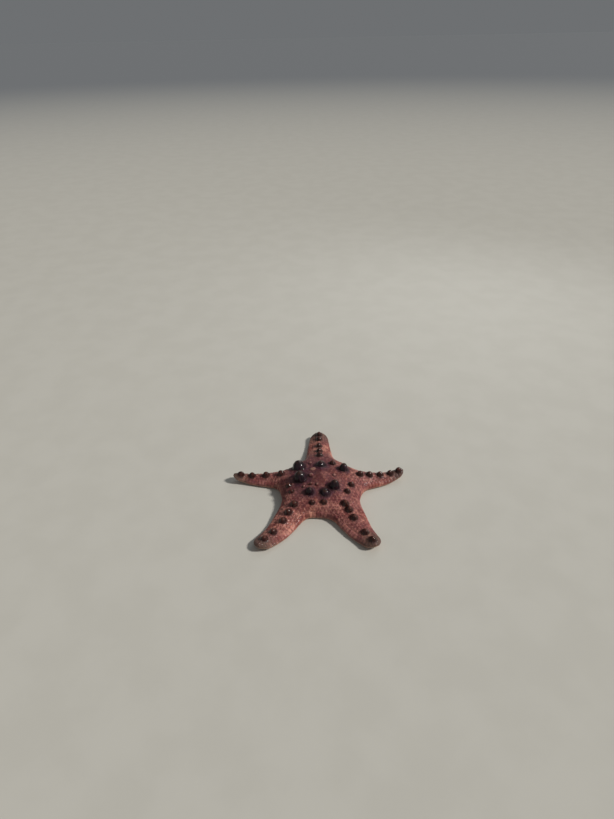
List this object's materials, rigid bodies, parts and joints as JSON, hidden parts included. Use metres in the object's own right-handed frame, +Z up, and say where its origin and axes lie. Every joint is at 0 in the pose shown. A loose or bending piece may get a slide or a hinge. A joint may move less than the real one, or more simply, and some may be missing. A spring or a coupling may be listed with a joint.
{
  "type": "horned sea star",
  "caption": "Life-size horned sea star lying flat: domed disc with tall dark horns, stout tapering arms with a row of dark knobs, and an open furrow under each arm.",
  "frame": {"origin": "on the surface the star lies on, under the middle of its outline", "axes": "+Z up; +Y towards the arm that points away from the viewer; +X to the viewer's right"},
  "size_m": [0.241, 0.2368, 0.0356],
  "materials": {
    "skin": "damp granular skin, brick red over brown, paler below",
    "horn": "smooth glossy near-black horn",
    "sieve_plate": "pale limy plate with fine winding grooves",
    "mouth": "pale pinkish skin over small limy plates"
  },
  "bodies": {
    "root": {"disc": "skin", "arm_back": "skin", "arm_left": "skin", "arm_front_left": "skin", "arm_front_right": "skin", "arm_right": "skin", "horn_back": "horn", "horn_left": "horn", "horn_front_left": "horn", "horn_front_right": "horn", "horn_right": "horn", "sieve_plate": "sieve_plate", "mouth": "mouth"}
  },
  "joints": []
}
